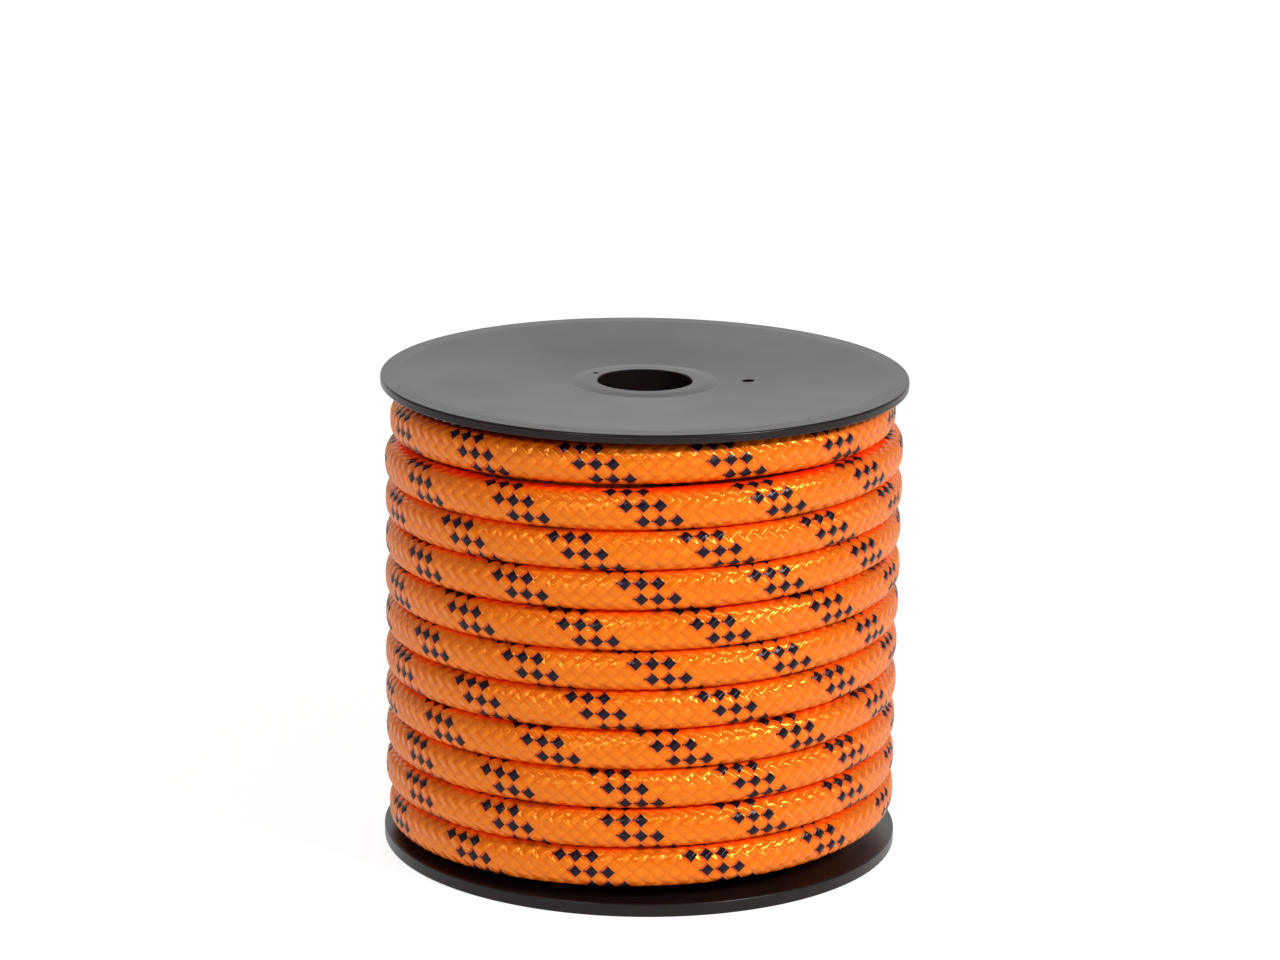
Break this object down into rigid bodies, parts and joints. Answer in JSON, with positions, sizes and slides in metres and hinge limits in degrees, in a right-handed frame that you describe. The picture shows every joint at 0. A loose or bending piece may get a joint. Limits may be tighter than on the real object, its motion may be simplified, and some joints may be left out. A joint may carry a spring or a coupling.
{
  "type": "reel of braided climbing rope",
  "caption": "Black plastic reel with two dished round flanges and a through bore, wound full of thick orange kernmantle rope with a black tracer pattern.",
  "frame": {"origin": "middle of the lower flange's flat resting ring, on the reel's axis", "axes": "+Z along the reel's axis to the upper flange; +X through the drive-pin holes; the winding runs anticlockwise seen from +Z"},
  "size_m": [0.133, 0.133, 0.1212],
  "materials": {
    "reel_plastic": "black moulded plastic, semi-gloss, finely mottled",
    "rope_sheath": "tightly braided polyamide, orange with three black strands",
    "rope_core": "twisted polyamide strands, ivory",
    "end_sleeve": "shrunk plastic sleeve, satin black",
    "tape": "plastic tape, satin black"
  },
  "bodies": {
    "root": {"lower_flange": "reel_plastic", "upper_flange": "reel_plastic", "barrel_tube": "reel_plastic", "spindle_tube": "reel_plastic", "rope_inner_layer": "rope_sheath", "rope_middle_layer": "rope_sheath", "rope_outer_layer": "rope_sheath", "outer_end_sheath": "rope_sheath", "outer_end_core": "rope_core", "outer_end_sleeve": "end_sleeve", "inner_end_sheath": "rope_sheath", "inner_end_core": "rope_core", "inner_end_sleeve": "end_sleeve", "retaining_tape": "tape"}
  },
  "joints": []
}
